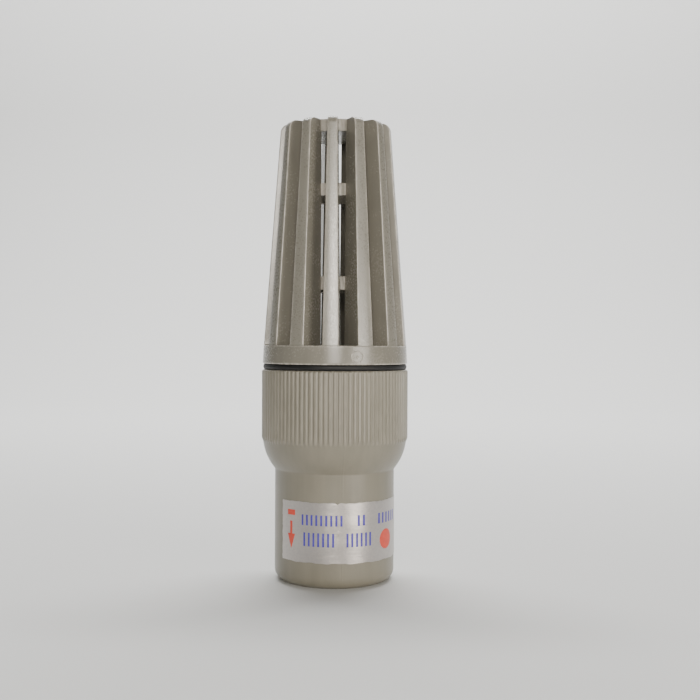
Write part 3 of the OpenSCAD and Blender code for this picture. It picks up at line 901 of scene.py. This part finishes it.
def make_label():
    """Foil sticker: a thin closed sheet on the socket, with hand-cut edges and a small nick."""
    columns, rows = 320, 30
    phi = np.linspace(LABEL_FROM, LABEL_TO, columns)[:, None]
    v = np.linspace(0, 1, rows)[None, :]
    low = label_low[2] + 0.10 * np.sin(phi / 4.1) + 0.06 * np.sin(phi / 1.7)
    high = label_high[2] + 0.09 * np.sin(phi / 5.3 + 1) + 0.05 * np.sin(phi / 1.3)
    high = high - 0.55 * np.exp(-((phi - 6.5) / 1.4) ** 2)
    z = low + (high - low) * v
    side = 0.35 * np.sin(z * 1.7) + 0.2 * np.sin(z * 4.1)
    ends = np.clip(1 - np.minimum(phi - LABEL_FROM, LABEL_TO - phi) / 6, 0, 1)
    phi = phi + side * ends
    outer = on_label(phi, z)
    a = np.radians(phi)
    inner = np.stack([LABEL_R * np.sin(a), -LABEL_R * np.cos(a), z], axis=-1)
    loop = np.concatenate([outer, inner[:, ::-1]], axis=1)
    return dress(tube("label_foil_sheet", loop), "housing", FOIL, "silver_foil", "label", angle=50)


def decal(name, outline):
    """A flat shape printed on the label. outline(u, v) with u, v in 0..1 gives angle and height."""
    steps = np.linspace(0, 1, 14)
    u, v = np.meshgrid(steps, steps, indexing="ij")
    phi, z = outline(u, v)
    top = on_label(phi, z, 0.022)
    under = on_label(phi, z, 0.004)
    loop = np.concatenate([top, under[:, ::-1]], axis=1)
    return tube(name, loop)


def bar(phi0, phi1, z0, z1):
    """Upright block between two angles and two heights."""
    return lambda u, v: (phi0 + (phi1 - phi0) * u, z0 + (z1 - z0) * v)


def disc_shape(phi0, z0, radius):
    """Round spot: a square grid mapped to a disc, each point pulled in to the circle's radius."""
    def shape(u, v):
        x, y = 2 * u - 1, 2 * v - 1
        wide = np.degrees(radius / LABEL_R)
        return phi0 + wide * x * np.sqrt(1 - y * y / 2), z0 + radius * y * np.sqrt(1 - x * x / 2)
    return shape


def arrow_head(phi0, z_top, z_tip, half):
    """Triangle that narrows evenly from z_top down to its tip."""
    wide = np.degrees(half / LABEL_R)
    return lambda u, v: (phi0 + wide * (2 * u - 1) * (0.03 + 0.97 * v), z_tip + (z_top - z_tip) * v)


def joined(name, pieces):
    """One object that holds several closed pieces."""
    points, faces, count = [], [], 0
    for piece in pieces:
        mesh = piece.data
        co = np.zeros(len(mesh.vertices) * 3)
        mesh.vertices.foreach_get("co", co)
        points.append(co.reshape(-1, 3) / MM)
        faces += [[count + v for v in polygon.vertices] for polygon in mesh.polygons]
        count += len(mesh.vertices)
        bpy.data.objects.remove(piece)
    return build_mesh(name, np.vstack(points), faces)


def bars_in_row(prefix, starts, ends, counts, z0, z1):
    """Rows of plain upright bars: each group has its own span of angles and number of bars."""
    made = []
    for group, (start, end, count) in enumerate(zip(starts, ends, counts)):
        pitch = (end - start) / count
        for k in range(count):
            left = start + pitch * (k + 0.26)
            made.append(decal(f"{prefix}_{group}_{k}", bar(left, left + 0.42 * pitch, z0, z1)))
    return made


def make_print():
    """Plain printed marks: rows of blue bars, a red arrow towards the pipe, and a red spot."""
    upper = bars_in_row("upper", (-29, 24, 47), (12.5, 34.5, 80), (9, 2, 6), 21.6, 25.2)
    lower = bars_in_row("lower", (-27, 13.5), (5, 41), (7, 6), 14.6, 19.2)
    dress(joined("blue_marks", upper + lower), "housing", BLUE_INK, "silver_foil", weighted=False)
    arrow_phi = -40.0
    marks = [decal("shaft", bar(arrow_phi - 1.4, arrow_phi + 1.4, 18.2, 22.6)),
             decal("head", arrow_head(arrow_phi, 18.3, 13.4, 1.75)),
             decal("dash", bar(arrow_phi - 4.6, arrow_phi + 4.6, 24.6, 26.4)),
             decal("spot", disc_shape(60.0, 16.0, 3.4))]
    dress(joined("red_marks", marks), "housing", RED_INK, "silver_foil", weighted=False)


# ---------------------------------------------------------------- stage, light and camera
def make_stage():
    """Plain pale floor that curves up into a backdrop."""
    depth, height, bend, width, front = 1.3, 1.8, 0.45, 3.0, 3.0
    a = np.linspace(0, np.pi / 2, 24)
    y = np.concatenate([[-front], depth - bend + bend * np.sin(a), [depth]])
    z = np.concatenate([[0], bend - bend * np.cos(a), [height]])
    rows = np.array([[[x, yy, zz] for yy, zz in zip(y, z)] for x in (-width, width)]) / MM
    floor = build_mesh("floor", rows.reshape(-1, 3), grid_faces(2, len(y), False, False))
    floor.data.shade_smooth()
    paper, _, shader, _ = blank_material("paper", 0.9)
    shader.inputs["Base Color"].default_value = (0.62, 0.62, 0.61, 1)
    shader.inputs["Specular IOR Level"].default_value = 0.2
    floor.data.materials.append(paper)


def add_light(name, place, target, size, power, colour=(1, 1, 1)):
    """A soft light, size wide and high in metres, at place and facing target."""
    light = bpy.data.lights.new(name, "AREA")
    light.shape = "RECTANGLE"
    light.size, light.size_y = size
    light.energy, light.color = power, colour
    lamp = bpy.data.objects.new(name, light)
    lamp.location = place
    aim = Vector(target) - Vector(place)
    lamp.rotation_mode = "QUATERNION"
    lamp.rotation_quaternion = aim.to_track_quat("-Z", "Y")
    bpy.context.scene.collection.objects.link(lamp)


def polar(azimuth, elevation, distance):
    """A place in metres round the object's middle: azimuth 0 is in front, 90 is on the right."""
    a, e = math.radians(azimuth), math.radians(elevation)
    flat = distance * math.cos(e)
    return flat * math.sin(a), -flat * math.cos(a), 0.08 + distance * math.sin(e)


def make_lights():
    """Soft lights: one by the camera, a key on the right, a weak fill, one behind and above, and
    one that lights the backdrop."""
    middle = (0, 0, 0.08)
    warm = (1, 0.94, 0.85)
    add_light("front", polar(3, 12, 0.95), middle, (0.26, 0.20), 6.2, warm)
    add_light("key", polar(44, 3, 1.0), middle, (0.42, 0.24), 5.2, warm)
    add_light("fill", polar(-62, 15, 1.0), middle, (0.60, 0.60), 0.1, (0.88, 0.98, 1))
    add_light("back", polar(180, 48, 0.9), middle, (0.70, 0.70), 2.2)
    add_light("backdrop", (0, 0.55, 1.5), (0, 1.3, 0.45), (1.6, 0.40), 60.0)
    world = bpy.data.worlds.new("soft_room")
    world.use_nodes = True
    world.node_tree.nodes["Background"].inputs["Color"].default_value = (0.86, 0.96, 1, 1)
    world.node_tree.nodes["Background"].inputs["Strength"].default_value = 0.08
    bpy.context.scene.world = world


def make_camera():
    """A level camera a little to the right of the front, rolled a quarter of a degree."""
    distance, height, azimuth, roll = 0.371, 0.0838, math.radians(3.5), math.radians(-0.25)
    data = bpy.data.cameras.new("camera")
    data.lens, data.sensor_width = 54.0, 36.0
    data.shift_x, data.shift_y = 0.0214, -0.0143
    data.clip_start = 0.01
    camera = bpy.data.objects.new("camera", data)
    camera.location = (distance * math.sin(azimuth), -distance * math.cos(azimuth), height)
    camera.rotation_euler = (math.pi / 2, roll, azimuth)
    bpy.context.scene.collection.objects.link(camera)
    bpy.context.scene.camera = camera


make_camera()
make_body()
make_strainer()
make_thread("bore_thread", THREAD_BORE_R + 0.3, NECK_R + 0.3, BODY_RIDGE_Z, -1, "housing", BODY_PLASTIC)
make_thread("neck_thread", NECK_R - 0.3, THREAD_BORE_R - 0.3, NECK_RIDGE_Z, 1, "basket", STRAINER_PLASTIC)
make_rim_seal()
make_spring()
make_stem()
make_nut()
make_lock_washer()
make_label()
make_print()
make_round_part("retainer_plate",
                [[2.55, retainer_low[2]], [retainer_high[0], retainer_low[2]],
                 [retainer_high[0], retainer_high[2]], [2.55, retainer_high[2]]],
                0.4, "seal_retainer", "poppet", STEEL, "stainless")
make_round_part("flat_seal",
                [[2.55, disc_seal_low[2]], [disc_seal_high[0], disc_seal_low[2]],
                 [disc_seal_high[0], disc_seal_high[2]], [2.55, disc_seal_high[2]]],
                0.25, "disc_seal", "poppet", BLACK_RUBBER, "black_rubber")

# these CAD nodes keep their own meshes and get a finish
for node, material in (("seat_ring", BODY_PLASTIC), ("seat_seal", BLACK_RUBBER),
                       ("stem_guide", GUIDE_PLASTIC), ("valve_disc", GUIDE_PLASTIC)):
    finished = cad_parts[node].data.materials
    finished.clear()
    finished.append(material)

make_stage()
make_lights()
